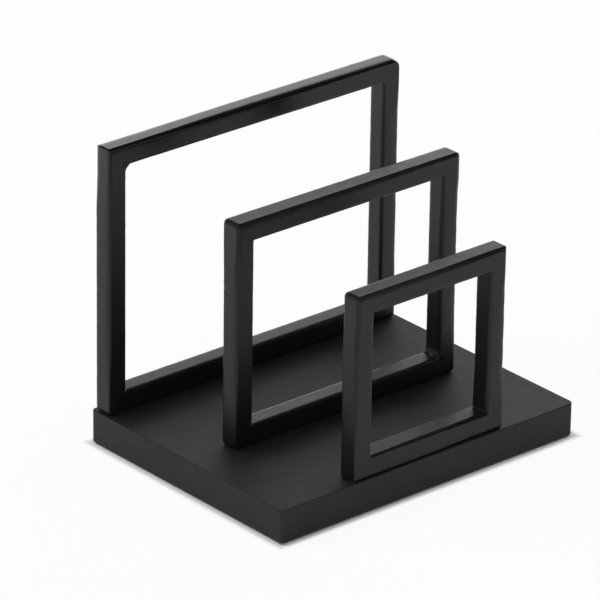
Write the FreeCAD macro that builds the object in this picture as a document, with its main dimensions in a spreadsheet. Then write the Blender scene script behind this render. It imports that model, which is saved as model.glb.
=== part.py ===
import FreeCAD, Part
import math
import os

import Sketcher

# A letter sorter: three mitred and welded frames of square bar, screwed to a slab base from below.
# X runs along the frames, Y from front to back, Z up. The origin lies under the middle of the base, at the
# level on which the feet rest.

Vector = FreeCAD.Vector

# Driving dimensions in millimetres (angles in degrees)
DIMENSIONS = {
    # Slab base
    "base_width": 165.0,
    "base_depth": 125.4,
    "base_thickness": 15.0,
    "base_corner_radius": 2.0,
    "base_crisp_corner_radius": 1.2,
    "base_worn_corner_radius": 3.0,
    "base_edge_radius": 0.7,
    # Square bar of the three frames, measured over the paint
    "bar_side": 9.5,
    "bar_edge_radius": 2.0,
    "frame_corner_radius": 1.8,
    "crisp_corner_radius": 1.2,
    "worn_corner_radius": 3.0,
    # Frames, outside sizes; the inset is from the slab's front and back edges
    "frame_inset": 1.2,
    "small_width": 83.9,
    "small_height": 84.3,
    "middle_width": 124.3,
    "middle_height": 103.6,
    "middle_setback": 55.4,
    "middle_shift": 1.2,
    "rear_height": 123.2,
    # Weld beads in the inner corners: length along each bar, and the bead's hollow as a share of it
    "weld_leg": 0.8,
    "middle_heavy_leg": 2.6,
    "rear_heavy_leg": 3.6,
    "weld_hollow_share": 1.4,
    # Countersunk M3 screws, two to a frame, put in from under the slab; the length is over all
    "screw_diameter": 3.0,
    "screw_length": 20.0,
    "head_diameter": 5.6,
    "head_rim": 0.25,
    "head_angle": 90.0,
    "recess_width": 0.8,
    "recess_span": 2.9,
    "recess_depth": 1.3,
    "screw_spread_share": 0.62,
    # Holes that the screws pass and turn into; the head lies a little under the slab's face
    "head_sink": 0.3,
    "head_clearance": 0.05,
    "shank_clearance": 0.2,
    "thread_clearance": 0.05,
    "tap_overrun": 1.0,
    "drill_point_angle": 118.0,
    # Stick-on feet under the slab's corners
    "foot_diameter": 10.0,
    "foot_height": 0.8,
    "foot_draft": 0.4,
    "foot_inset": 12.0,
}

# Each frame's outside width, its shift to the right of the slab's middle, and how far its front face is set
# back from the slab's
FRAMES = {
    "small": ("size.small_width", "0", "size.frame_inset"),
    "middle": ("size.middle_width", "size.middle_shift", "size.middle_setback"),
    "rear": (
        "(size.base_width - 2 * size.frame_inset)", "0", "size.base_depth - size.frame_inset - size.bar_side"
    ),
}

# A frame's corners, anticlockwise as seen from the front
CORNERS = ("lower_left", "lower_right", "upper_right", "upper_left")

# Corners that aren't ground round like the others, and beads that are heavier
CORNER_RADII = {
    ("small", "lower_left"): "size.crisp_corner_radius",
    ("small", "lower_right"): "size.crisp_corner_radius",
    ("rear", "upper_right"): "size.worn_corner_radius",
    ("rear", "upper_left"): "size.crisp_corner_radius",
}
WELD_LEGS = {
    ("middle", "lower_right"): "size.middle_heavy_leg",
    ("rear", "upper_left"): "size.rear_heavy_leg",
}

# The slab's corners by side, -1 for left or front and 1 for right or back, with how far each is rounded
BASE_CORNERS = {
    (-1, -1): "size.base_crisp_corner_radius",
    (1, -1): "size.base_worn_corner_radius",
    (1, 1): "size.base_corner_radius",
    (-1, 1): "size.base_corner_radius",
}

FULL_TURN = 360
QUARTER_TURN = 90
HALF_CORNER = 45
STRAIGHT_DOWN = 270
CLEARANCE_HOLE_RADIUS = "size.screw_diameter / 2 + size.shank_clearance"
TAPPED_HOLE_RADIUS = "size.screw_diameter / 2 + size.thread_clearance"
HEAD_SLOPE = "tan(size.head_angle * 1 deg / 2)"
BASE_TOP = "size.foot_height + size.base_thickness"
TOUCH = 1e-6

doc = FreeCAD.newDocument("letter_sorter")
sheet = doc.addObject("Spreadsheet::Sheet", "size")
for row, (alias, value) in enumerate(DIMENSIONS.items(), start=1):
    sheet.set(f"A{row}", alias)
    sheet.set(f"B{row}", str(value))
    sheet.setAlias(f"B{row}", alias)
doc.recompute()

subparts = []


def number(expression):
    """Present value of an expression of the sheet's dimensions."""
    return float(sheet.evalExpression(expression))


# Sketches and features whose sizes stay bound to the sheet

def new_body(label, x="0", y="0", z="0", turn_about_y=0):
    """Empty body for one sub-part, placed by expressions and turned about Y by whole degrees."""
    body = doc.addObject("PartDesign::Body", label)
    body.Label = label
    body.AllowCompound = True
    body.Placement = FreeCAD.Placement(Vector(), FreeCAD.Rotation(Vector(0, 1, 0), turn_about_y))
    for axis, expression in (("x", x), ("y", y), ("z", z)):
        body.setExpression(f".Placement.Base.{axis}", expression)
    subparts.append(body)
    return body


def new_sketch(body, plane, name):
    """Sketch on one of the body's own origin planes."""
    sketch = body.newObject("Sketcher::SketchObject", name)
    support = next(item for item in body.Origin.OriginFeatures if item.Role == plane)
    sketch.AttachmentSupport = [(support, "")]
    sketch.MapMode = "FlatFace"
    sketch.Visibility = False
    return sketch


def constrain(sketch, kind, *items, name=None, size=None):
    """One constraint; where it has a size, that is an expression to which it stays bound."""
    if size is None:
        sketch.addConstraint(Sketcher.Constraint(kind, *items))
        return
    index = sketch.addConstraint(Sketcher.Constraint(kind, *items, number(size)))
    sketch.renameConstraint(index, name)
    sketch.setExpression(f"Constraints.{name}", size)


def add_line(sketch, start, end):
    """Straight edge between two points given as (x, y)."""
    return sketch.addGeometry(Part.LineSegment(Vector(*start), Vector(*end)), False)


def add_arc(sketch, centre, radius, start, end):
    """Arc that runs anticlockwise from one direction to another, in degrees about its centre."""
    circle = Part.Circle(Vector(*centre), Vector(0, 0, 1), radius)
    return sketch.addGeometry(Part.ArcOfCircle(circle, math.radians(start), math.radians(end)), False)


def add_rectangle(sketch, width, height):
    """Rectangle about the sketch's origin; both sides are expressions."""
    x, y = number(width) / 2, number(height) / 2
    corners = [(-x, -y), (x, -y), (x, y), (-x, y)]
    sides = [add_line(sketch, corners[i], corners[(i + 1) % 4]) for i in range(4)]
    for i, side in enumerate(sides):
        constrain(sketch, "Coincident", side, 2, sides[(i + 1) % 4], 1)
        constrain(sketch, "Vertical" if i % 2 else "Horizontal", side)
    constrain(sketch, "Symmetric", sides[0], 1, sides[2], 1, -1, 1)
    constrain(sketch, "DistanceX", sides[0], 1, sides[0], 2, name="width", size=width)
    constrain(sketch, "DistanceY", sides[1], 1, sides[1], 2, name="height", size=height)


def add_circle(sketch, name, x, y, radius):
    """Circle whose centre and radius are expressions."""
    centre = Vector(number(x), number(y))
    circle = sketch.addGeometry(Part.Circle(centre, Vector(0, 0, 1), number(radius)), False)
    constrain(sketch, "DistanceX", -1, 1, circle, 3, name=f"{name}_x", size=x)
    constrain(sketch, "DistanceY", -1, 1, circle, 3, name=f"{name}_y", size=y)
    constrain(sketch, "Radius", circle, name=f"{name}_radius", size=radius)


def add_profile(sketch, points):
    """Closed straight-sided outline; each point is (name, x, y), where x and y are expressions."""
    places = [(number(x), number(y)) for _, x, y in points]
    count = len(points)
    sides = [add_line(sketch, places[i], places[(i + 1) % count]) for i in range(count)]
    for i, (name, x, y) in enumerate(points):
        constrain(sketch, "Coincident", sides[i - 1], 2, sides[i], 1)
        constrain(sketch, "DistanceX", -1, 1, sides[i], 1, name=f"{name}_x", size=x)
        constrain(sketch, "DistanceY", -1, 1, sides[i], 1, name=f"{name}_y", size=y)


def add_feature(body, kind, name, profile=None, **sizes):
    """PartDesign feature on the body's tip; each size is an expression."""
    doc.recompute()
    feature = body.newObject(f"PartDesign::{kind}", name)
    if profile:
        feature.Profile = profile
    for size, expression in sizes.items():
        feature.setExpression(size, expression)
    return feature


def add_fillet(body, name, radius, chosen):
    """Fillet along every edge of the body so far that the test picks."""
    doc.recompute()
    before = body.Tip
    edges = [f"Edge{i}" for i, edge in enumerate(before.Shape.Edges, start=1) if chosen(edge)]
    feature = add_feature(body, "Fillet", name, Radius=radius)
    feature.Base = (before, edges)
    return feature


def spread_along(edge):
    """An edge's extent in X, Y and Z between its ends."""
    first, last = edge.Vertexes[0].Point, edge.Vertexes[-1].Point
    return [abs(a - b) for a, b in zip(first, last)]


def is_upright(edge):
    x, y, _ = spread_along(edge)
    return isinstance(edge.Curve, Part.Line) and x < TOUCH and y < TOUCH


def lies_at(edge, sides):
    """Whether an edge lies on the given sides of the body's middle, along X and along Y."""
    middle = edge.CenterOfMass
    return middle.x * sides[0] > 0 and middle.y * sides[1] > 0


def is_lengthwise(edge):
    _, y, z = spread_along(edge)
    return y < TOUCH and z < TOUCH


def screw_reach(frame):
    """How far each of a frame's two screws stands to the side of the frame's middle."""
    return f"{FRAMES[frame][0]} * size.screw_spread_share / 2"


# Slab base, with a countersunk hole from below for every screw

def make_base():
    body = new_body("base_board", z="size.foot_height")
    outline = new_sketch(body, "XY_Plane", "base_outline")
    add_rectangle(outline, "size.base_width", "size.base_depth")
    add_feature(body, "Pad", "base_slab", outline, Length="size.base_thickness")
    for index, (sides, radius) in enumerate(BASE_CORNERS.items()):
        add_fillet(body, f"base_corner_{index}", radius, lambda edge: is_upright(edge) and lies_at(edge, sides))
    add_fillet(body, "base_rims", "size.base_edge_radius", lambda edge: not is_upright(edge))
    centres = new_sketch(body, "XY_Plane", "base_hole_centres")
    for frame, (_, shift, setback) in FRAMES.items():
        y = f"{setback} + size.bar_side / 2 - size.base_depth / 2"
        for side, sign in (("left", "-"), ("right", "+")):
            x = f"{shift} {sign} {screw_reach(frame)}"
            add_circle(centres, f"{frame}_{side}", x, y, CLEARANCE_HOLE_RADIUS)
    holes = add_feature(body, "Hole", "base_screw_holes", centres)
    holes.Reversed = True
    holes.setExpression("Diameter", f"2 * ({CLEARANCE_HOLE_RADIUS})")
    holes.DepthType = "ThroughAll"
    holes.HoleCutType = "Countersink"
    mouth = f"size.head_diameter / 2 + size.head_clearance + (size.head_sink + size.head_rim) * {HEAD_SLOPE}"
    holes.setExpression("HoleCutDiameter", f"2 * ({mouth})")
    holes.setExpression("HoleCutCountersinkAngle", "size.head_angle * 1 deg")


# Frames: four mitred bars each, with the outer corners ground round across the mitre

def make_bar(frame, bar, length, x, y, z, quarter_turns):
    """Bar along its own X with the outer side at Z = 0, from one outer corner of the frame to the next."""
    label = f"{frame}_frame_{bar}"
    body = new_body(label, x, y, z, -QUARTER_TURN * quarter_turns)
    outline = new_sketch(body, "XZ_Plane", f"{label}_outline")
    add_profile(outline, [
        ("outer_start", "0", "0"),
        ("outer_end", length, "0"),
        ("inner_end", f"{length} - size.bar_side", "size.bar_side"),
        ("inner_start", "size.bar_side", "size.bar_side"),
    ])
    add_feature(body, "Pad", f"{label}_bar", outline, Length="size.bar_side").Reversed = True
    add_fillet(body, f"{label}_edges", "size.bar_edge_radius", is_lengthwise)
    waste = new_sketch(body, "XZ_Plane", f"{label}_corner_waste")
    for past_start, (name, corner_x, inward) in enumerate((("start", "0", 1), ("end", length, -1))):
        corner = CORNERS[(quarter_turns + past_start) % len(CORNERS)]
        radius = CORNER_RADII.get((frame, corner), "size.frame_corner_radius")
        add_corner_waste(waste, name, corner_x, inward, radius)
    add_feature(body, "Pocket", f"{label}_ground_corners", waste).Type = "ThroughAll"
    return body


def add_corner_waste(sketch, name, corner_x, inward, radius):
    """What is ground off one half of an outer corner, between the outer side, the arc and the mitre."""
    x, size = number(corner_x), number(radius)
    centre = (x + inward * size, size)
    tip = size * (1 - math.sqrt(1 / 2))
    start, end = sorted((STRAIGHT_DOWN, STRAIGHT_DOWN - inward * HALF_CORNER))
    side = add_line(sketch, (x, 0), (centre[0], 0))
    arc = add_arc(sketch, centre, size, start, end)
    mitre = add_line(sketch, (x + inward * tip, tip), (x, 0))
    at_side, at_mitre = (2, 1) if inward > 0 else (1, 2)
    constrain(sketch, "Tangent", side, 2, arc, at_side)
    constrain(sketch, "Coincident", arc, at_mitre, mitre, 1)
    constrain(sketch, "Coincident", mitre, 2, side, 1)
    constrain(sketch, "PointOnObject", arc, 3, mitre)
    constrain(sketch, "PointOnObject", side, 1, -1)
    constrain(sketch, "PointOnObject", side, 2, -1)
    constrain(sketch, "DistanceX", -1, 1, side, 1, name=f"{name}_corner_x", size=corner_x)
    centre_x = f"{corner_x} + {inward} * {radius}"
    constrain(sketch, "DistanceX", -1, 1, arc, 3, name=f"{name}_centre_x", size=centre_x)
    constrain(sketch, "Radius", arc, name=f"{name}_radius", size=radius)


def tap_bottom_rail(body, frame):
    """Blind tapped holes for the screws, drilled from the rail's underside."""
    centres = new_sketch(body, "XY_Plane", f"{frame}_tap_centres")
    for side, sign in (("left", "-"), ("right", "+")):
        x = f"{FRAMES[frame][0]} / 2 {sign} {screw_reach(frame)}"
        add_circle(centres, side, x, "size.bar_side / 2", TAPPED_HOLE_RADIUS)
    holes = add_feature(body, "Hole", f"{frame}_tapped_holes", centres)
    holes.Reversed = True
    holes.setExpression("Diameter", f"2 * ({TAPPED_HOLE_RADIUS})")
    holes.DepthType = "Dimension"
    holes.DrillPoint = "Angled"
    holes.setExpression("DrillPointAngle", "size.drill_point_angle * 1 deg")
    into_bar = "size.head_sink + size.screw_length - size.base_thickness"
    holes.setExpression("Depth", f"{into_bar} + size.tap_overrun")


def make_frame(frame):
    width, shift, setback = FRAMES[frame]
    height = f"size.{frame}_height"
    left, right = f"{shift} - {width} / 2", f"{shift} + {width} / 2"
    front = f"{setback} - size.base_depth / 2"
    top = f"{BASE_TOP} + {height}"
    bottom_rail = make_bar(frame, "bottom_rail", width, left, front, BASE_TOP, 0)
    tap_bottom_rail(bottom_rail, frame)
    make_bar(frame, "right_post", height, right, front, BASE_TOP, 1)
    make_bar(frame, "top_rail", width, right, front, top, 2)
    make_bar(frame, "left_post", height, left, front, top, 3)
    make_welds(frame, left, front)


# Welds: a hollow bead in each inner corner of a frame, on the flat of the bars between their rounded edges

def make_welds(frame, left, front):
    body = new_body(f"{frame}_frame_welds", left, f"{front} + size.bar_edge_radius", BASE_TOP)
    sketch = new_sketch(body, "XZ_Plane", f"{frame}_weld_outlines")
    near = "size.bar_side"
    far_x, far_z = f"{FRAMES[frame][0]} - size.bar_side", f"size.{frame}_height - size.bar_side"
    for turns, (x, z) in enumerate(((near, near), (far_x, near), (far_x, far_z), (near, far_z))):
        add_bead(sketch, turns, x, z, WELD_LEGS.get((frame, CORNERS[turns]), "size.weld_leg"))
    beads = add_feature(
        body, "Pad", f"{frame}_weld_beads", sketch, Length="size.bar_side - 2 * size.bar_edge_radius"
    )
    beads.Reversed = True


def add_bead(sketch, turns, x, z, leg):
    """Three-sided bead profile with its square corner at x, z, turned by whole quarter turns."""
    corner, length = Vector(number(x), number(z)), number(leg)
    radius = length * number("size.weld_hollow_share")
    half_angle = math.degrees(math.asin(length / math.sqrt(2) / radius))
    quarter = FreeCAD.Rotation(Vector(0, 0, 1), QUARTER_TURN * turns)
    first = corner + quarter.multVec(Vector(length, 0))
    second = corner + quarter.multVec(Vector(0, length))
    reach = length / 2 + radius * math.cos(math.radians(half_angle)) / math.sqrt(2)
    centre = corner + quarter.multVec(Vector(reach, reach))
    diagonal = STRAIGHT_DOWN - HALF_CORNER + QUARTER_TURN * turns
    lower = add_line(sketch, corner, first)
    upper = add_line(sketch, second, corner)
    hollow = add_arc(sketch, centre, radius, diagonal - half_angle, diagonal + half_angle)
    constrain(sketch, "Coincident", upper, 2, lower, 1)
    constrain(sketch, "Coincident", lower, 2, hollow, 2)
    constrain(sketch, "Coincident", hollow, 1, upper, 1)
    constrain(sketch, "Vertical" if turns % 2 else "Horizontal", lower)
    constrain(sketch, "Horizontal" if turns % 2 else "Vertical", upper)
    constrain(sketch, "Equal", lower, upper)
    constrain(sketch, "DistanceX", -1, 1, lower, 1, name=f"bead_{turns}_x", size=x)
    constrain(sketch, "DistanceY", -1, 1, lower, 1, name=f"bead_{turns}_z", size=z)
    constrain(sketch, "Distance", lower, name=f"bead_{turns}_leg", size=leg)
    constrain(sketch, "Radius", hollow, name=f"bead_{turns}_radius", size=f"{leg} * size.weld_hollow_share")


# Screws: flat heads just under the slab's lower face, shanks up through it into the bottom rail

def make_screws(frame):
    _, shift, setback = FRAMES[frame]
    x = f"{shift} + {screw_reach(frame)}"
    y = f"{setback} + size.bar_side / 2 - size.base_depth / 2"
    body = new_body(f"{frame}_frame_screws", x, y, "size.foot_height + size.head_sink")
    shank, head = "size.screw_diameter / 2", "size.head_diameter / 2"
    profile = new_sketch(body, "XZ_Plane", f"{frame}_screw_profile")
    add_profile(profile, [
        ("face_middle", "0", "0"),
        ("face_rim", head, "0"),
        ("cone_rim", head, "size.head_rim"),
        ("cone_root", shank, f"size.head_rim + ({head} - {shank}) / {HEAD_SLOPE}"),
        ("tip_rim", shank, "size.screw_length"),
        ("tip_middle", "0", "size.screw_length"),
    ])
    turned = add_feature(body, "Revolution", f"{frame}_screw_blank", profile)
    turned.ReferenceAxis = (profile, ["V_Axis"])
    turned.Angle = FULL_TURN
    cut_cross_recess(body, frame)
    pair = add_feature(body, "LinearPattern", f"{frame}_screw_pair", Length=f"2 * ({screw_reach(frame)})")
    pair.TransformMode = "Whole shape"
    pair.Direction = (next(item for item in body.Origin.OriginFeatures if item.Role == "X_Axis"), [""])
    pair.Reversed = True
    pair.Occurrences = 2
    body.Tip = pair


def cut_cross_recess(body, frame):
    """Two crossing slots in the face of the head."""
    span, width = "size.recess_span", "size.recess_width"
    for name, length, height in (("level", span, width), ("upright", width, span)):
        sketch = new_sketch(body, "XY_Plane", f"{frame}_{name}_slot_outline")
        add_rectangle(sketch, length, height)
        slot = add_feature(body, "Pocket", f"{frame}_{name}_slot", sketch, Length="size.recess_depth")
        slot.Reversed = True


# Feet: four round stick-on pads with a leaning flank

def make_foot(label, x_sign, y_sign):
    x = f"{x_sign} * (size.base_width / 2 - size.foot_inset)"
    y = f"{y_sign} * (size.base_depth / 2 - size.foot_inset)"
    body = new_body(label, x, y)
    radius = "size.foot_diameter / 2"
    profile = new_sketch(body, "XZ_Plane", f"{label}_profile")
    add_profile(profile, [
        ("sole_middle", "0", "0"),
        ("sole_rim", f"{radius} - size.foot_draft", "0"),
        ("top_rim", radius, "size.foot_height"),
        ("top_middle", "0", "size.foot_height"),
    ])
    turned = add_feature(body, "Revolution", f"{label}_disc", profile)
    turned.ReferenceAxis = (profile, ["V_Axis"])
    turned.Angle = FULL_TURN


make_base()
for name in FRAMES:
    make_frame(name)
    make_screws(name)
for depth_word, y_side in (("front", -1), ("rear", 1)):
    for width_word, x_side in (("left", -1), ("right", 1)):
        make_foot(f"foot_{depth_word}_{width_word}", x_side, y_side)
doc.recompute()

for item in doc.Objects:
    if "Invalid" in item.State or "Error" in item.State:
        raise RuntimeError(f"{item.Name} failed: {item.State}")
for body in subparts:
    if body.Shape.isNull() or not body.Shape.isValid():
        raise RuntimeError(f"{body.Label} has no valid shape")

os.makedirs("parts", exist_ok=True)
for body in subparts:
    body.Shape.exportStep(os.path.join("parts", f"{body.Label}.step"))
print(len(subparts), "sub-parts written")
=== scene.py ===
import math

import bpy
from mathutils import Matrix, Vector, noise


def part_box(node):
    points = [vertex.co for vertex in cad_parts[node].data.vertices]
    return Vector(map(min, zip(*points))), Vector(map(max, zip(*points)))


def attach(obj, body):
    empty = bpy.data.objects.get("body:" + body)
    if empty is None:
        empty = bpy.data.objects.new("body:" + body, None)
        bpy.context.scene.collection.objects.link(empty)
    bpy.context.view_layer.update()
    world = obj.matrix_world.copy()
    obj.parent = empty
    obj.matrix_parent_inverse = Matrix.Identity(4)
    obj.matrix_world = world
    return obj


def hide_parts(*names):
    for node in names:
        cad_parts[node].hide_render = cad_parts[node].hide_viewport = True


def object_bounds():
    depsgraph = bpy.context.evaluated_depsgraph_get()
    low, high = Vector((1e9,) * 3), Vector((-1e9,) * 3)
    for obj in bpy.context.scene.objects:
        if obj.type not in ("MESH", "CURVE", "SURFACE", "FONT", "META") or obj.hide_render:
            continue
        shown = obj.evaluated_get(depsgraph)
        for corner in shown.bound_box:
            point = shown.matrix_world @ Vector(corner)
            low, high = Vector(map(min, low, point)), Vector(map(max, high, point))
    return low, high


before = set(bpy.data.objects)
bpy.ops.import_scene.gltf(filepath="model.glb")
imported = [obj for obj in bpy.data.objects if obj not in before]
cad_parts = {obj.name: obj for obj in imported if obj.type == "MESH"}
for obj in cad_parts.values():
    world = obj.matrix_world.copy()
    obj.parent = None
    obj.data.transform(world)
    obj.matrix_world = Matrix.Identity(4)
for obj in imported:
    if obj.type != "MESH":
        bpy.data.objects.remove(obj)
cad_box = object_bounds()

# A letter sorter: three welded frames of square bar on a slab base, under satin black paint.
# X runs along the frames, Y from front to back, Z up. Lengths are in metres.

MM = 0.001
ROOT = "root"
FRAMES = ("small", "middle", "rear")
BARS = ("bottom_rail", "right_post", "top_rail", "left_post")
CORNERS = ("lower_left", "lower_right", "upper_right", "upper_left")
QUARTER_TURN = math.pi / 2
# Faces that meet at less than this are shaded as one rounding
SMOOTH_BELOW = math.radians(35)

# A bar's four long edges, and for each whether it is at the back and whether it faces into the frame
EDGES = ("rear_inner", "front_inner", "front_outer", "rear_outer")
EDGE_SIDES = ((1, 1), (0, 1), (0, 0), (1, 0))

# Their roundings: how far each reaches on the frame's outer or inner side, how far on the front or back
# face, and how much of it is ground flat, from 0 to 1. A row holds in the middle of a bar or at a corner of
# the frame, and the rounding eases from one to the next. Of the rows that fit, the longest name counts.
EDGE_REACH = {
    "rear_inner": (2.5 * MM, 2.5 * MM, 0),
    "front_inner": (1.7 * MM, 1.7 * MM, 0),
    "rear_outer": (2.5 * MM, 2.5 * MM, 0),
    ("front_inner", "right_post"): (2.4 * MM, 2.6 * MM, 0),
    ("front_outer", "lower_left"): (1.0 * MM, 1.0 * MM, 0),
    ("front_outer", "bottom_rail"): (1.0 * MM, 1.0 * MM, 0),
    ("front_outer", "lower_right"): (2.2 * MM, 2.2 * MM, 0),
    ("front_outer", "right_post"): (2.5 * MM, 4.8 * MM, 0),
    ("front_outer", "left_post"): (3.7 * MM, 1.7 * MM, 0),
    ("small", "rear_inner", "lower_left"): (1.2 * MM, 1.2 * MM, 0),
    ("small", "rear_inner", "bottom_rail"): (1.0 * MM, 1.0 * MM, 0),
    ("small", "rear_inner", "lower_right"): (1.2 * MM, 1.2 * MM, 0),
    ("small", "front_inner", "lower_left"): (1.0 * MM, 0.9 * MM, 1),
    ("small", "front_inner", "bottom_rail"): (1.6 * MM, 1.0 * MM, 1),
    ("small", "front_inner", "lower_right"): (1.9 * MM, 1.2 * MM, 1),
    ("small", "front_outer", "upper_right"): (1.4 * MM, 1.7 * MM, 1),
    ("small", "front_outer", "top_rail"): (0.8 * MM, 2.5 * MM, 1),
    ("small", "front_outer", "upper_left"): (0.8 * MM, 2.6 * MM, 1),
    ("small", "rear_outer", "upper_right"): (1.9 * MM, 1.9 * MM, 0),
    ("small", "rear_outer", "top_rail"): (2.7 * MM, 2.7 * MM, 0),
    ("small", "rear_outer", "upper_left"): (3.3 * MM, 3.3 * MM, 0),
    ("middle", "front_inner", "lower_right"): (1.2 * MM, 1.2 * MM, 0),
    ("middle", "front_outer", "upper_right"): (0.8 * MM, 1.9 * MM, 1),
    ("middle", "front_outer", "top_rail"): (0.8 * MM, 2.8 * MM, 1),
    ("middle", "front_outer", "upper_left"): (0.8 * MM, 3.0 * MM, 1),
    ("middle", "rear_outer", "upper_right"): (2.8 * MM, 2.8 * MM, 0),
    ("middle", "rear_outer", "top_rail"): (2.3 * MM, 2.3 * MM, 0),
    ("middle", "rear_outer", "upper_left"): (1.8 * MM, 1.8 * MM, 0),
    ("rear", "front_outer", "upper_right"): (3.8 * MM, 1.4 * MM, 0),
    ("rear", "front_outer", "top_rail"): (3.4 * MM, 2.2 * MM, 0),
    ("rear", "front_outer", "upper_left"): (1.2 * MM, 2.4 * MM, 0),
    ("rear", "front_outer", "left_post"): (4.6 * MM, 1.7 * MM, 0),
    ("rear", "rear_outer", "upper_right"): (2.4 * MM, 2.4 * MM, 0),
    ("rear", "rear_outer", "top_rail"): (2.8 * MM, 2.8 * MM, 0),
    ("rear", "rear_outer", "upper_left"): (4.0 * MM, 4.0 * MM, 0),
}
# A rounding flattens towards its two ends, where it runs out into the bar's faces; where it is ground, its
# middle is nearly flat instead
RUN_OUT_GAIN = 6
RUN_OUT_POWER = 4
GROUND_GAIN = 40
GROUND_POWER = 3
# How much the roundings wander along a bar, and over what length; they don't where they meet at a mitre
WANDERS = ((0.14, 9 * MM), (0.12, 3 * MM))
WANDER_FADE = 4 * MM
# How far from a post's end its rounding is that of its middle; a rail's eases all along
POST_EASE = 26 * MM

# Outer corners of the frames, ground round across the mitre
CORNER_RADIUS = 1.8 * MM
CORNER_RADII = {
    ("small", "lower_left"): 0.7 * MM,
    ("small", "lower_right"): 0.9 * MM,
    ("small", "upper_right"): 0.9 * MM,
    ("small", "upper_left"): 2.2 * MM,
    ("middle", "upper_right"): 2.2 * MM,
    ("middle", "upper_left"): 2.2 * MM,
    ("rear", "upper_right"): 4.2 * MM,
    ("rear", "upper_left"): 0.9 * MM,
}

# Weld fillets in the inner corners: length along the level bar and along the upright one, height and length
# of the ripple on two of them, and how far their roots lie inside the bars
WELD_LEGS = (0.6 * MM, 0.6 * MM)
HEAVY_WELD_LEGS = {
    ("rear", "upper_left"): (3.8 * MM, 3.4 * MM),
    ("rear", "upper_right"): (1.2 * MM, 1.2 * MM),
    ("middle", "lower_right"): (2.2 * MM, 3.2 * MM),
}
WELD_RIPPLE = {("middle", "lower_right"): 0.3 * MM, ("rear", "upper_left"): 0.25 * MM}
RIPPLE_LENGTH = 2.2 * MM
WELD_ROOT = 0.3 * MM
WELD_STEPS = 16
WELD_FLAT_STEPS = 12

# How finely the bars are divided: round an edge, whose curve is summed up in slices, across a flat side,
# round a corner of the frame, on from there to the straight bar, and along it
EDGE_STEPS = 10
CURVE_SLICES = 8
FLAT_STEPS = 3
ARC_STEPS = 6
RUN_IN_STEPS = 3
STATION_PITCH = 1.0 * MM

# Slab base: radius of its rims, and of its upright edges, anticlockwise from the front left one
BASE_RIM_RADIUS = 0.35 * MM
BASE_CORNER_RADII = (1.0 * MM, 2.8 * MM, 2.0 * MM, 2.0 * MM)
BASE_CORNER_STEPS = 12
BASE_RIM_STEPS = 5

# Screws under the slab, as they are in the solids, with a tapered cross recess
SCREW_RADIUS = 1.5 * MM
SCREW_LENGTH = 20.0 * MM
HEAD_RADIUS = 2.8 * MM
HEAD_RIM = 0.25 * MM
SHANK_CLEARANCE = 0.2 * MM
RECESS_SPAN = 3.1 * MM
RECESS_WIDTH = 0.75 * MM
RECESS_DEPTH = 1.4 * MM
RECESS_TAPER = 0.35
HEAD_EASE = 0.08 * MM
# Chamfer at the tip, as a share of the shank's radius
TIP_SHARE = 1 / 3
# How far the cutters of holes and recesses stand out
CUT_OVERRUN = 0.25 * MM

# Rubber feet
FOOT_EASE = 0.15 * MM
FOOT_DRAFT = 0.3 * MM
ROUND_STEPS = 48
LATHE_EASE_STEPS = 4

# Camera, fitted to the object's edges in a square picture
YAW = math.radians(-40.958)
PITCH = math.radians(24.614)
ROLL = math.radians(0.841)
DISTANCE = 2.4
AIM = Vector((0, 0, 0.0684))
SLIDE_RIGHT = 15.0 * MM
SLIDE_UP = 2.6 * MM
SENSOR = 36.0
PICTURE_SIDE = 600
FOCAL_PIXELS = 5658.05

# Noise mostly keeps between these
NOISE_USUAL = (0.3, 0.7)

# Paint on the bars: patches of tone and of gloss, waves left by the grinder, orange peel, and grains below
BAR_TONES = ((0.005, 0.005, 0.006), (0.007, 0.007, 0.008))
BAR_TONE_PATCH = 16 * MM
BAR_TINT = (0.92, 0.895, 1.0, 1)
BAR_ROUGHNESS_LOW_DOWN = 0.4
BAR_ROUGHNESS_AT_TOP = 0.17
BAR_ROUGHNESS_POWER = 7
BAR_GLOSS_PATCH = 5 * MM
BAR_GLOSS_SPREAD = 0.03
WAVE_LENGTH = 11 * MM
WAVE_HEIGHT = 0.03 * MM
PEEL_LENGTH = 1.1 * MM
PEEL_HEIGHT = 0.006 * MM
BAR_GRAIN_SPACING = 8 * MM
BAR_GRAIN_RADIUS = 0.5 * MM
BAR_GRAIN_HEIGHT = 0.08 * MM

# Paint on the slab, with the stipple of a sprayed board
BASE_TONES = ((0.009, 0.009, 0.01), (0.012, 0.012, 0.013))
BASE_TONE_PATCH = 22 * MM
BASE_TINT = (0.9, 0.87, 1.0, 1)
BASE_SPECULAR = 0.68
BASE_ROUGHNESS = (0.6, 0.66)
BASE_GLOSS_PATCH = 4 * MM
STIPPLE_LENGTH = 0.8 * MM
STIPPLE_HEIGHT = 0.012 * MM
BASE_GRAIN_SPACING = 9 * MM
BASE_GRAIN_RADIUS = 0.6 * MM
BASE_GRAIN_HEIGHT = 0.1 * MM

# Zinc plate on the screws, and the feet's rubber
ZINC_TONES = ((0.42, 0.43, 0.45), (0.58, 0.59, 0.6))
ZINC_GRAIN = 1.1 * MM
ZINC_ROUGHNESS = (0.28, 0.4)
RUBBER_TONES = ((0.012, 0.012, 0.012), (0.02, 0.02, 0.02))
RUBBER_GRAIN = 1.4 * MM
RUBBER_RELIEF = 0.04 * MM
RUBBER_ROUGHNESS = (0.75, 0.85)
RUBBER_SPECULAR = 0.3

# Floor: lit by the lamps near the slab, where its shadow lies, and a white glow to the camera farther off
FLOOR_HALF = 0.8
FLOOR_COLOR = (0.8, 0.8, 0.8, 1)
FLOOR_ROUGHNESS = 0.9
FLOOR_SPECULAR = 0.1
FLOOR_GLOW = 0.93
SHADOW_REACH = 4 * MM

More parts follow.
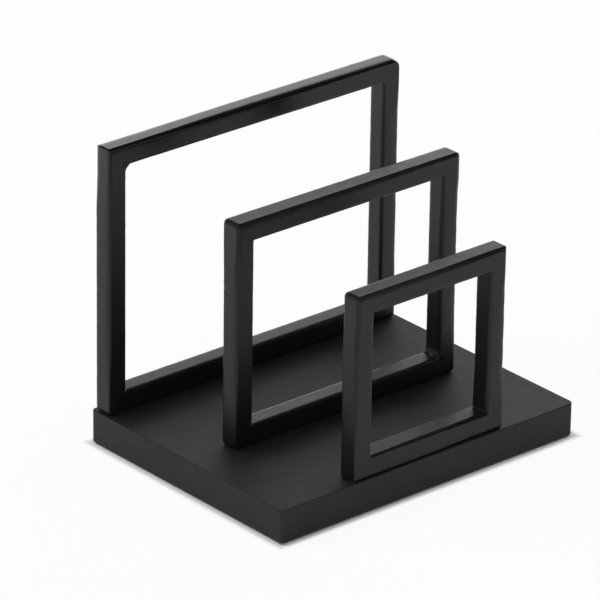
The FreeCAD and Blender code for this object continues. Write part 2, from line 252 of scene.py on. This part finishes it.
# Sky: white to the camera, a dark room with pale glows to glossy rays, and plain to all others. A glow has
# its strength and its limits: the axis of the direction, where along it the glow starts, where it is whole,
# and the share of it that is left before the start.
WHITE = (1, 1, 1, 1)
SKY_PLAIN = 0.6
ROOM_DARK = 0.04
GLOWS = {
    "wall_behind": (1.91, (("Y", -0.1, 0.45, 0), ("Z", 0.6, 0.42, 0), ("X", -0.6, 0.4, 0.3))),
    "low_on_the_right": (0.9, (("X", 0.74, 0.86, 0), ("Z", 0.4, 0.2, 0))),
    "front_left": (0.5, (("Y", -0.4, -0.6, 0), ("X", 0.3, 0, 0), ("Z", 0.5, 0.35, 0))),
    "overhead": (0.3, (("Z", 0.92, 0.98, 0),)),
}

# Square lamps: place, the point that each faces, side, power, and whether the object mirrors it
LAMPS = {
    "softbox_behind_right": ((0.6, 0.25, 0.28), (0, 0, 0.03), 0.3, 0.3, True),
    "floor_light_behind_left": ((-0.7, 0.9, 0.9), (-0.25, 0.25, 0), 0.8, 12, False),
    "floor_light_right": ((0.7, 0, 0.5), (0.4, -0.1, 0), 0.3, 1, False),
    "floor_light_front": ((0.05, -0.14, 0.17), (0.05, -0.14, 0), 0.05, 0.05, False),
}


# Meshes

def new_mesh_object(name, points, faces, matrix=Matrix.Identity(4)):
    """Mesh object whose vertices are already where they belong."""
    mesh = bpy.data.meshes.new(name)
    mesh.from_pydata([matrix @ Vector(point) for point in points], [], faces)
    mesh.update()
    obj = bpy.data.objects.new(name, mesh)
    bpy.context.scene.collection.objects.link(obj)
    return obj


def smooth_step(value):
    value = min(max(value, 0), 1)
    return value * value * (3 - 2 * value)


def blend(first, second, share):
    """Numbers on the way from the first row of them to the second."""
    return [a + (b - a) * share for a, b in zip(first, second)]


def add_rings(faces, rings):
    """Faces between closed rings of vertices, and one to close each end.

    They face outwards if the rings run anticlockwise, seen from beyond the last one.
    """
    for first, second in zip(rings, rings[1:]):
        for i in range(len(first)):
            j = (i + 1) % len(first)
            faces.append((first[j], second[j], second[i], first[i]))
    faces.append(tuple(reversed(rings[0])))
    faces.append(tuple(rings[-1]))


def set_normals(obj, normals, rounded_faces):
    """The given vertex normals on the first faces, and each face's own normal on the rest."""
    corners = []
    for polygon in obj.data.polygons:
        polygon.use_smooth = True
        for vertex in polygon.vertices:
            corners.append(normals[vertex] if polygon.index < rounded_faces else polygon.normal.copy())
    obj.data.normals_split_custom_set(corners)


def keep_flats_flat(obj):
    """Smooth shading over the roundings, with the large faces left flat."""
    for polygon in obj.data.polygons:
        polygon.use_smooth = True
    obj.data.set_sharp_from_angle(angle=SMOOTH_BELOW)
    weights = obj.modifiers.new("weights", "WEIGHTED_NORMAL")
    weights.keep_sharp = True
    apply_modifiers(obj)


def apply_modifiers(obj):
    depsgraph = bpy.context.evaluated_depsgraph_get()
    old = obj.data
    obj.data = bpy.data.meshes.new_from_object(obj.evaluated_get(depsgraph))
    obj.modifiers.clear()
    bpy.data.meshes.remove(old)


def cut_away(obj, cutters):
    for cutter in cutters:
        cut = obj.modifiers.new("cut", "BOOLEAN")
        cut.operation = "DIFFERENCE"
        cut.solver = "EXACT"
        cut.object = cutter
    apply_modifiers(obj)
    for cutter in cutters:
        bpy.data.objects.remove(cutter)


def turn_profile(name, profile, place):
    """Round piece from (radius, height) points, from the rim of its flat bottom to that of its flat top."""
    points, faces, rings = [], [], []
    for radius, height in profile:
        ring = []
        for step in range(ROUND_STEPS):
            angle = 2 * math.pi * step / ROUND_STEPS
            x, y = place.x + radius * math.cos(angle), place.y + radius * math.sin(angle)
            ring.append(len(points))
            points.append((x, y, place.z + height))
        rings.append(ring)
    add_rings(faces, rings)
    return new_mesh_object(name, points, faces)


def eased_corner(radius, height, ease, start):
    """Points of a small rounding with its centre at (radius, height), over a quarter turn."""
    points = []
    for step in range(LATHE_EASE_STEPS + 1):
        angle = start + QUARTER_TURN * step / LATHE_EASE_STEPS
        points.append((radius + ease * math.cos(angle), height + ease * math.sin(angle)))
    return points


def finish_piece(piece, material, node):
    piece.data.materials.append(material)
    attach(piece, ROOT)
    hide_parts(node)


# Bars of the frames

def unit_rounding(bend):
    """Points of a rounding from (0, -1) to (-1, 0) about its sharp corner at (0, 0).

    The radius of its curve follows bend, a function of how far round it is: -1 and 1 at the ends, 0 midway.
    """
    points, x, y = [(0, 0)], 0, 0
    for step in range(EDGE_STEPS * CURVE_SLICES):
        share = (step + 0.5) / (EDGE_STEPS * CURVE_SLICES)
        angle, radius = QUARTER_TURN * share, bend(2 * share - 1)
        x, y = x - radius * math.sin(angle), y + radius * math.cos(angle)
        if (step + 1) % CURVE_SLICES == 0:
            points.append((x, y))
    reach = points[-1][1]
    return [(x / reach, (y - reach) / reach) for x, y in points]


ROUNDED = unit_rounding(lambda place: 1 + RUN_OUT_GAIN * abs(place) ** RUN_OUT_POWER)
GROUND = unit_rounding(lambda place: 1 + GROUND_GAIN * (1 - abs(place)) ** GROUND_POWER)


def section(side, reaches, flat_steps=FLAT_STEPS):
    """Points (u, v) and normals round a bar: u from front to back, v from the frame's outside inwards."""
    roundings = []
    for index, ((at_back, at_inside), (reach_u, reach_v, ground)) in enumerate(zip(EDGE_SIDES, reaches)):
        start = QUARTER_TURN * index
        cos, sin = round(math.cos(start)), round(math.sin(start))
        rounding = []
        for step in range(EDGE_STEPS + 1):
            x, y = blend(ROUNDED[step], GROUND[step], ground)
            angle = start + QUARTER_TURN * step / EDGE_STEPS
            u = side * at_back + reach_u * (x * cos - y * sin)
            v = side * at_inside + reach_v * (x * sin + y * cos)
            normal = Vector((math.cos(angle) / reach_u, math.sin(angle) / reach_v)).normalized()
            rounding.append((u, v, normal))
        roundings.append(rounding)
    ring = []
    for rounding, after in zip(roundings, roundings[1:] + roundings[:1]):
        ring += rounding
        last, first = rounding[-1], after[0]
        for step in range(1, flat_steps):
            ring.append((*blend(last[:2], first[:2], step / flat_steps), last[2]))
    return ring


def edge_reach(frame_name, edge, place):
    """An edge's rounding in the middle of a bar or at a corner."""
    keys = ((frame_name, edge, place), (edge, place), edge)
    return next(EDGE_REACH[key] for key in keys if key in EDGE_REACH)


def edge_reaches(frame_name, bar, share, length, seed):
    """Roundings of the four long edges, at a share of the way along a bar."""
    turns = BARS.index(bar)
    corner = CORNERS[turns] if share < 0.5 else CORNERS[(turns + 1) % len(CORNERS)]
    from_corner = min(share, 1 - share)
    to_middle = smooth_step(2 * from_corner if turns % 2 == 0 else from_corner * length / POST_EASE)
    fade = smooth_step(from_corner * length / WANDER_FADE)
    reaches = []
    for index, edge in enumerate(EDGES):
        at_corner, at_middle = edge_reach(frame_name, edge, corner), edge_reach(frame_name, edge, bar)
        *lengths, ground = blend(at_corner, at_middle, to_middle)
        for face in range(len(lengths)):
            lane = len(EDGES) * face + index
            samples = [(part, Vector((share * length / size, seed, lane))) for part, size in WANDERS]
            lengths[face] *= 1 + fade * sum(part * noise.noise(place) for part, place in samples)
        reaches.append((*lengths, ground))
    return reaches


def corner_place(radius, run_in, share):
    """Where a section's points lie in the stretch from a mitre (share 0) to the straight bar (share 1)."""
    steps = share * (ARC_STEPS + RUN_IN_STEPS)
    turn = QUARTER_TURN / 2 * (1 - min(steps / ARC_STEPS, 1))
    past = max(steps - ARC_STEPS, 0) / RUN_IN_STEPS

    def place(v):
        bend = radius - v
        if bend > 0:
            x = radius - bend * math.sin(turn) + past * (run_in - radius)
            return x, radius - bend * math.cos(turn), turn
        return v + share * (run_in - v), v, 0
    return place


def bar_rows(length, side, radii):
    """Rows from mitre to mitre: share of the way along the bar, placing, mirrored."""
    run_in = side + STATION_PITCH
    count = ARC_STEPS + RUN_IN_STEPS
    rows = [(0, corner_place(radii[0], run_in, step / count), False) for step in range(count)]
    steps = round((length - 2 * run_in) / STATION_PITCH)
    for step in range(steps + 1):
        x = run_in + (length - 2 * run_in) * step / steps
        rows.append((step / steps, lambda v, x=x: (x, v, 0), False))
    for step in reversed(range(count)):
        rows.append((1, corner_place(radii[1], run_in, step / count), True))
    return rows


def make_bar(name, frame_name, bar, length, side, radii, matrix, seed):
    """Bar along X with its outer side at Z = 0, mitred at both ends, as one closed mesh."""
    points, normals, rings = [], [], []
    turn_only = matrix.to_3x3()
    for share, place, mirrored in bar_rows(length, side, radii):
        ring = []
        for u, v, (normal_u, normal_v) in section(side, edge_reaches(frame_name, bar, share, length, seed)):
            x, z, turn = place(v)
            slope = math.sin(turn)
            if mirrored:
                x, slope = length - x, -slope
            normal = Vector((slope * normal_v, normal_u, math.cos(turn) * normal_v))
            ring.append(len(points))
            points.append((x, u, z))
            normals.append(turn_only @ normal.normalized())
        rings.append(ring)
    faces = []
    add_rings(faces, rings)
    obj = new_mesh_object(name, points, faces, matrix)
    set_normals(obj, normals, len(faces) - 2)
    return obj


def frame_box(name):
    """Left, front, bottom, right, back and top of a welded frame."""
    low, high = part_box(f"{name}_frame_left_post")[0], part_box(f"{name}_frame_right_post")[1]
    bottom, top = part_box(f"{name}_frame_bottom_rail")[0].z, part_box(f"{name}_frame_top_rail")[1].z
    return low.x, low.y, bottom, high.x, high.y, top


def make_bars(name, seed):
    left, front, bottom, right, back, top = frame_box(name)
    starts = ((left, bottom), (right, bottom), (right, top), (left, top))
    lengths = (right - left, top - bottom) * 2
    for turns, (bar, (x, z), length) in enumerate(zip(BARS, starts, lengths)):
        ends = (CORNERS[turns], CORNERS[(turns + 1) % len(CORNERS)])
        radii = [CORNER_RADII.get((name, corner), CORNER_RADIUS) for corner in ends]
        matrix = Matrix.Translation((x, front, z)) @ Matrix.Rotation(-QUARTER_TURN * turns, 4, "Y")
        node = f"{name}_frame_{bar}"
        piece = make_bar(f"{node}_painted", name, bar, length, back - front, radii, matrix, seed + turns)
        finish_piece(piece, frame_paint, node)


# Welds

def inner_line(side, reaches):
    """Depth u and inward distance v of a bar's inner side, from its front face to its back face."""
    ring = section(side, reaches, WELD_FLAT_STEPS)
    two_edges_and_flat = 2 * (EDGE_STEPS + 1) + WELD_FLAT_STEPS - 1
    return [(u, v) for u, v, _ in reversed(ring[:two_edges_and_flat])]


def make_welds(name):
    """One fillet in each inner corner, rounded at front and back like the bars in the lower left one."""
    left, front, bottom, right, back, top = frame_box(name)
    side = back - front
    line = inner_line(side, edge_reaches(name, BARS[0], share=0, length=side, seed=0))
    corners = {
        "lower_left": (left, bottom, 1, 1), "lower_right": (right, bottom, -1, 1),
        "upper_right": (right, top, -1, -1), "upper_left": (left, top, 1, -1),
    }
    points, faces = [], []
    for corner, (x, z, inward_x, inward_z) in corners.items():
        legs = HEAVY_WELD_LEGS.get((name, corner), WELD_LEGS)
        ripple = WELD_RIPPLE.get((name, corner), 0)
        rings = []
        for u, v in line:
            ring = [len(points)]
            points.append((x + inward_x * (v - WELD_ROOT), front + u, z + inward_z * (v - WELD_ROOT)))
            for step in range(WELD_STEPS + 1):
                angle = QUARTER_TURN * step / WELD_STEPS
                across = v + legs[0] * (1 - math.cos(angle))
                up = v + legs[1] * (1 - math.sin(angle))
                lump = noise.noise(Vector((across, u, up)) / RIPPLE_LENGTH) * ripple * math.sin(2 * angle)
                # In the frame's front and back faces a fillet only shrinks
                lump = min(lump, 0) if u in (line[0][0], line[-1][0]) else lump
                ring.append(len(points))
                points.append((x + inward_x * (across + lump), front + u, z + inward_z * (up + lump)))
            rings.append(ring if inward_x * inward_z > 0 else list(reversed(ring)))
        add_rings(faces, rings)
    node = f"{name}_frame_welds"
    piece = new_mesh_object(f"{node}_painted", points, faces)
    for polygon in piece.data.polygons:
        polygon.use_smooth = True
    piece.data.set_sharp_from_angle(angle=SMOOTH_BELOW)
    finish_piece(piece, frame_paint, node)


# Slab base with its countersunk holes

def slab_outline(low, high, inset):
    """Rounded outline, anticlockwise from the front left corner, drawn in by an inset."""
    corners = (
        (low.x, low.y, 1, 1), (high.x, low.y, -1, 1), (high.x, high.y, -1, -1), (low.x, high.y, 1, -1),
    )
    outline = []
    for index, ((x, y, inward_x, inward_y), radius) in enumerate(zip(corners, BASE_CORNER_RADII)):
        centre_x, centre_y = x + inward_x * radius, y + inward_y * radius
        for step in range(BASE_CORNER_STEPS + 1):
            angle = QUARTER_TURN * (index + 2 + step / BASE_CORNER_STEPS)
            reach = radius - inset
            outline.append((centre_x + reach * math.cos(angle), centre_y + reach * math.sin(angle)))
    return outline


def screw_places():
    """Axis of every screw, at the level of its head's face."""
    places = {}
    for name in FRAMES:
        low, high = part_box(f"{name}_frame_screws")
        y = (low.y + high.y) / 2
        places[name] = [Vector((x, y, low.z)) for x in (low.x + HEAD_RADIUS, high.x - HEAD_RADIUS)]
    return places


def make_base():
    low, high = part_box("base_board")
    ease = [
        (BASE_RIM_RADIUS * (1 - math.sin(angle)), BASE_RIM_RADIUS * (1 - math.cos(angle)))
        for angle in (QUARTER_TURN * step / BASE_RIM_STEPS for step in range(BASE_RIM_STEPS + 1))
    ]
    levels = [(inset, low.z + rise) for inset, rise in ease]
    levels += [(inset, high.z - rise) for inset, rise in reversed(ease)]
    points, faces, rings = [], [], []
    for inset, z in levels:
        outline = slab_outline(low, high, inset)
        rings.append(list(range(len(points), len(points) + len(outline))))
        points += [(x, y, z) for x, y in outline]
    add_rings(faces, rings)
    piece = new_mesh_object("base_board_painted", points, faces)
    places = [place for pair in screw_places().values() for place in pair]
    cut_away(piece, [make_hole_cutter(place, low.z, high.z) for place in places])
    keep_flats_flat(piece)
    finish_piece(piece, base_paint, "base_board")


def make_hole_cutter(place, bottom, top):
    """Through hole with a right-angled countersink that takes the screw's head."""
    shank = SCREW_RADIUS + SHANK_CLEARANCE
    sink = place.z - bottom
    mouth = HEAD_RADIUS + HEAD_RIM + sink
    past_top = top - bottom + CUT_OVERRUN
    profile = [(mouth + CUT_OVERRUN, -CUT_OVERRUN), (shank, mouth - shank), (shank, past_top)]
    return turn_profile("hole_cutter", profile, Vector((place.x, place.y, bottom)))


# Screws

def make_screws(name, places):
    cone_root, tip = HEAD_RIM + HEAD_RADIUS - SCREW_RADIUS, SCREW_RADIUS * TIP_SHARE
    profile = eased_corner(HEAD_RADIUS - HEAD_EASE, HEAD_EASE, HEAD_EASE, -QUARTER_TURN)
    profile += [(HEAD_RADIUS, HEAD_RIM), (SCREW_RADIUS, cone_root)]
    profile += [(SCREW_RADIUS, SCREW_LENGTH - tip), (SCREW_RADIUS - tip, SCREW_LENGTH)]
    pieces = []
    for place in places:
        screw = turn_profile("screw", profile, place)
        cut_away(screw, [make_recess_cutter(place, turn) for turn in (0, 1)])
        pieces.append(screw)
    piece = join_meshes(f"{name}_frame_screws_plated", pieces)
    keep_flats_flat(piece)
    finish_piece(piece, screw_metal, f"{name}_frame_screws")


def make_recess_cutter(place, turn):
    """One tapered blade of the cross recess."""
    points = []
    for height, share in ((-CUT_OVERRUN, 1), (RECESS_DEPTH, RECESS_TAPER)):
        half = (RECESS_SPAN / 2 * share, RECESS_WIDTH / 2)
        if turn:
            half = (half[1], half[0])
        for sign_x, sign_y in ((-1, -1), (1, -1), (1, 1), (-1, 1)):
            points.append((place.x + sign_x * half[0], place.y + sign_y * half[1], place.z + height))
    faces = []
    add_rings(faces, [[0, 1, 2, 3], [4, 5, 6, 7]])
    return new_mesh_object("recess_cutter", points, faces)


def join_meshes(name, objects):
    points, faces = [], []
    for obj in objects:
        start = len(points)
        points += [vertex.co.copy() for vertex in obj.data.vertices]
        for polygon in obj.data.polygons:
            faces.append(tuple(start + vertex for vertex in polygon.vertices))
        bpy.data.objects.remove(obj)
    return new_mesh_object(name, points, faces)


# Feet

def make_foot(node):
    low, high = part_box(node)
    middle = (low + high) / 2
    radius, height = (high.x - low.x) / 2, high.z - low.z
    sole = radius - FOOT_DRAFT - FOOT_EASE
    profile = eased_corner(sole, FOOT_EASE, FOOT_EASE, -QUARTER_TURN) + [(radius, height)]
    piece = turn_profile(f"{node}_rubber", profile, Vector((middle.x, middle.y, low.z)))
    keep_flats_flat(piece)
    finish_piece(piece, rubber, node)


# Node trees of the finishes, the floor and the world

class Wiring:
    """Nodes and links of one node tree."""

    def __init__(self, tree):
        self.nodes, self.links = tree.nodes, tree.links

    def split(self, vector):
        """Outputs X, Y and Z of a vector."""
        node = self.nodes.new("ShaderNodeSeparateXYZ")
        self.links.new(vector, node.inputs[0])
        return node.outputs

    def calculate(self, operation, *terms):
        """The operation over outputs or numbers, from left to right."""
        total = terms[0]
        for term in terms[1:]:
            node = self.nodes.new("ShaderNodeMath")
            node.operation = operation
            for socket, value in zip(node.inputs, (total, term)):
                if isinstance(value, (int, float)):
                    socket.default_value = value
                else:
                    self.links.new(value, socket)
            total = node.outputs[0]
        return total

    def remap(self, source, start, end, low, high, easing="LINEAR"):
        """Goes from low to high as the source goes from start to end, and stays there beyond them."""
        node = self.nodes.new("ShaderNodeMapRange")
        node.interpolation_type = easing
        for socket, value in (("From Min", start), ("From Max", end), ("To Min", low), ("To Max", high)):
            node.inputs[socket].default_value = value
        self.links.new(source, node.inputs["Value"])
        return node.outputs["Result"]

    def mix(self, factor, first, second):
        """Node that goes from the first shader node to the second as the factor goes from 0 to 1."""
        node = self.nodes.new("ShaderNodeMixShader")
        self.links.new(factor, node.inputs["Fac"])
        self.links.new(first.outputs[0], node.inputs[1])
        self.links.new(second.outputs[0], node.inputs[2])
        return node


class Shading(Wiring):
    """A material's node tree, with its main shader."""

    def __init__(self, name):
        self.material = bpy.data.materials.new(name)
        self.material.use_nodes = True
        super().__init__(self.material.node_tree)
        self.shader = self.nodes["Principled BSDF"]
        self.place = self.nodes.new("ShaderNodeTexCoord").outputs["Object"]

    def connect(self, source, socket):
        self.links.new(source, self.shader.inputs[socket])

    def set(self, socket, value):
        self.shader.inputs[socket].default_value = value

    def noise(self, size, detail):
        """Noise whose largest features are about this long."""
        texture = self.nodes.new("ShaderNodeTexNoise")
        texture.inputs["Scale"].default_value = 1 / size
        texture.inputs["Detail"].default_value = detail
        self.links.new(self.place, texture.inputs["Vector"])
        return texture.outputs["Fac"]

    def spread(self, source, low, high):
        """The noise's usual range stretched over two values."""
        return self.remap(source, *NOISE_USUAL, low, high)

    def grains(self, spacing, radius):
        """Sparse grains: 1 in the middle of each, 0 away from them."""
        texture = self.nodes.new("ShaderNodeTexVoronoi")
        texture.inputs["Scale"].default_value = 1 / spacing
        self.links.new(self.place, texture.inputs["Vector"])
        return self.remap(texture.outputs["Distance"], radius / spacing, 0, 0, 1)

    def tones(self, source, dark, light):
        """Two colours that follow the noise's usual range."""
        ramp = self.nodes.new("ShaderNodeValToRGB")
        for element, position, color in zip(ramp.color_ramp.elements, NOISE_USUAL, (dark, light)):
            element.position = position
            element.color = (*color, 1)
        self.links.new(source, ramp.inputs["Fac"])
        return ramp.outputs["Color"]

    def by_height(self, low, high, power):
        """One value at the slab's top and another at the tallest frame's, along a curve of this power."""
        height = self.remap(self.split(self.place)["Z"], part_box("base_board")[1].z, cad_box[1][2], 0, 1)
        return self.remap(self.calculate("POWER", height, power), 0, 1, low, high)

    def bump(self, height, distance, before=None):
        bump = self.nodes.new("ShaderNodeBump")
        bump.inputs["Distance"].default_value = distance
        self.links.new(height, bump.inputs["Height"])
        if before:
            self.links.new(before, bump.inputs["Normal"])
        return bump.outputs["Normal"]


# Finishes

def make_frame_paint():
    """Satin black coating on the bars, duller low down."""
    look = Shading("satin_black_frame_paint")
    look.connect(look.tones(look.noise(BAR_TONE_PATCH, detail=4), *BAR_TONES), "Base Color")
    dullness = look.by_height(BAR_ROUGHNESS_LOW_DOWN, BAR_ROUGHNESS_AT_TOP, BAR_ROUGHNESS_POWER)
    patches = look.spread(look.noise(BAR_GLOSS_PATCH, detail=3), -BAR_GLOSS_SPREAD, BAR_GLOSS_SPREAD)
    look.connect(look.calculate("ADD", dullness, patches), "Roughness")
    look.set("Specular Tint", BAR_TINT)
    waves = look.bump(look.noise(WAVE_LENGTH, detail=1), WAVE_HEIGHT)
    grains = look.bump(look.grains(BAR_GRAIN_SPACING, BAR_GRAIN_RADIUS), BAR_GRAIN_HEIGHT, waves)
    look.connect(look.bump(look.noise(PEEL_LENGTH, detail=2), PEEL_HEIGHT, grains), "Normal")
    return look.material


def make_base_paint():
    """Duller black paint on the slab."""
    look = Shading("dull_black_base_paint")
    look.connect(look.tones(look.noise(BASE_TONE_PATCH, detail=4), *BASE_TONES), "Base Color")
    look.connect(look.spread(look.noise(BASE_GLOSS_PATCH, detail=3), *BASE_ROUGHNESS), "Roughness")
    look.set("Specular IOR Level", BASE_SPECULAR)
    look.set("Specular Tint", BASE_TINT)
    grains = look.bump(look.grains(BASE_GRAIN_SPACING, BASE_GRAIN_RADIUS), BASE_GRAIN_HEIGHT)
    look.connect(look.bump(look.noise(STIPPLE_LENGTH, detail=2), STIPPLE_HEIGHT, grains), "Normal")
    return look.material


def make_screw_metal():
    look = Shading("zinc_plated_steel")
    grain = look.noise(ZINC_GRAIN, detail=3)
    look.connect(look.tones(grain, *ZINC_TONES), "Base Color")
    look.set("Metallic", 1)
    look.connect(look.spread(grain, *ZINC_ROUGHNESS), "Roughness")
    return look.material


def make_rubber():
    look = Shading("matt_black_rubber")
    grain = look.noise(RUBBER_GRAIN, detail=4)
    look.connect(look.tones(grain, *RUBBER_TONES), "Base Color")
    look.connect(look.spread(grain, *RUBBER_ROUGHNESS), "Roughness")
    look.set("Specular IOR Level", RUBBER_SPECULAR)
    look.connect(look.bump(grain, RUBBER_RELIEF), "Normal")
    return look.material


# Studio

def make_floor():
    corners = [(x * FLOOR_HALF, y * FLOOR_HALF, 0) for x, y in ((-1, -1), (1, -1), (1, 1), (-1, 1))]
    floor = new_mesh_object("floor", corners, [(0, 1, 2, 3)])
    look = Shading("white_floor")
    look.set("Base Color", FLOOR_COLOR)
    look.set("Roughness", FLOOR_ROUGHNESS)
    look.set("Specular IOR Level", FLOOR_SPECULAR)
    low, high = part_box("base_board")
    place = look.split(look.place)
    beyond_x, beyond_y = (
        look.calculate("SUBTRACT", look.calculate("ABSOLUTE", place[axis], 0), edge)
        for axis, edge in (("X", (high.x - low.x) / 2), ("Y", (high.y - low.y) / 2))
    )
    outside = look.calculate("MAXIMUM", beyond_x, beyond_y)
    glow_share = look.remap(outside, 0, SHADOW_REACH, 0, FLOOR_GLOW, "SMOOTHSTEP")
    camera_ray = look.nodes.new("ShaderNodeLightPath").outputs["Is Camera Ray"]
    glow = look.nodes.new("ShaderNodeEmission")
    seen = look.mix(look.calculate("MULTIPLY", camera_ray, glow_share), look.shader, glow)
    look.links.new(seen.outputs[0], look.nodes["Material Output"].inputs["Surface"])
    floor.data.materials.append(look.material)


def make_world():
    world = bpy.data.worlds.new("studio")
    bpy.context.scene.world = world
    world.use_nodes = True
    sky = Wiring(world.node_tree)
    sky.nodes.clear()
    direction = sky.split(sky.nodes.new("ShaderNodeTexCoord").outputs["Generated"])
    mirrored = ROOM_DARK
    for strength, limits in GLOWS.values():
        shares = [
            sky.remap(direction[axis], start, whole, outside, 1, "SMOOTHSTEP")
            for axis, start, whole, outside in limits
        ]
        mirrored = sky.calculate("ADD", mirrored, sky.calculate("MULTIPLY", *shares, strength))
    rays = sky.nodes.new("ShaderNodeLightPath").outputs
    in_mirror = sky.calculate("MAXIMUM", rays["Is Glossy Ray"], rays["Is Transmission Ray"])
    plain, room, white = (sky.nodes.new("ShaderNodeBackground") for _ in range(3))
    plain.inputs["Strength"].default_value = SKY_PLAIN
    sky.links.new(mirrored, room.inputs["Strength"])
    # The other two keep a background's usual pale grey
    white.inputs["Color"].default_value = WHITE
    seen = sky.mix(rays["Is Camera Ray"], sky.mix(in_mirror, plain, room), white)
    sky.links.new(seen.outputs[0], sky.nodes.new("ShaderNodeOutputWorld").inputs["Surface"])


def add_lamp(name, place, target, side, power, mirrored):
    data = bpy.data.lights.new(name, "AREA")
    data.shape = "SQUARE"
    data.size = side
    data.energy = power
    lamp = bpy.data.objects.new(name, data)
    lamp.visible_glossy = mirrored
    lamp.location = place
    lamp.rotation_euler = (Vector(target) - Vector(place)).to_track_quat("-Z", "Y").to_euler()
    bpy.context.scene.collection.objects.link(lamp)


def make_camera():
    back = Vector((math.sin(YAW) * math.cos(PITCH), -math.cos(YAW) * math.cos(PITCH), math.sin(PITCH)))
    level_right = Vector((math.cos(YAW), math.sin(YAW), 0))
    right = level_right * math.cos(ROLL) + back.cross(level_right) * math.sin(ROLL)
    up = back.cross(right)
    data = bpy.data.cameras.new("camera")
    data.sensor_width = SENSOR
    data.lens = SENSOR * FOCAL_PIXELS / PICTURE_SIDE
    camera = bpy.data.objects.new("camera", data)
    place = AIM + back * DISTANCE - right * SLIDE_RIGHT - up * SLIDE_UP
    camera.matrix_world = Matrix.Translation(place) @ Matrix((right, up, back)).transposed().to_4x4()
    bpy.context.scene.collection.objects.link(camera)
    bpy.context.scene.camera = camera


frame_paint = make_frame_paint()
base_paint = make_base_paint()
screw_metal = make_screw_metal()
rubber = make_rubber()

make_camera()
make_base()
for seed, name in enumerate(FRAMES):
    make_bars(name, seed * len(BARS))
    make_welds(name)
for name, places in screw_places().items():
    make_screws(name, places)
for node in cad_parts:
    if node.startswith("foot"):
        make_foot(node)

make_floor()
make_world()
for name, lamp in LAMPS.items():
    add_lamp(name, *lamp)
bpy.context.scene.view_settings.view_transform = "Standard"
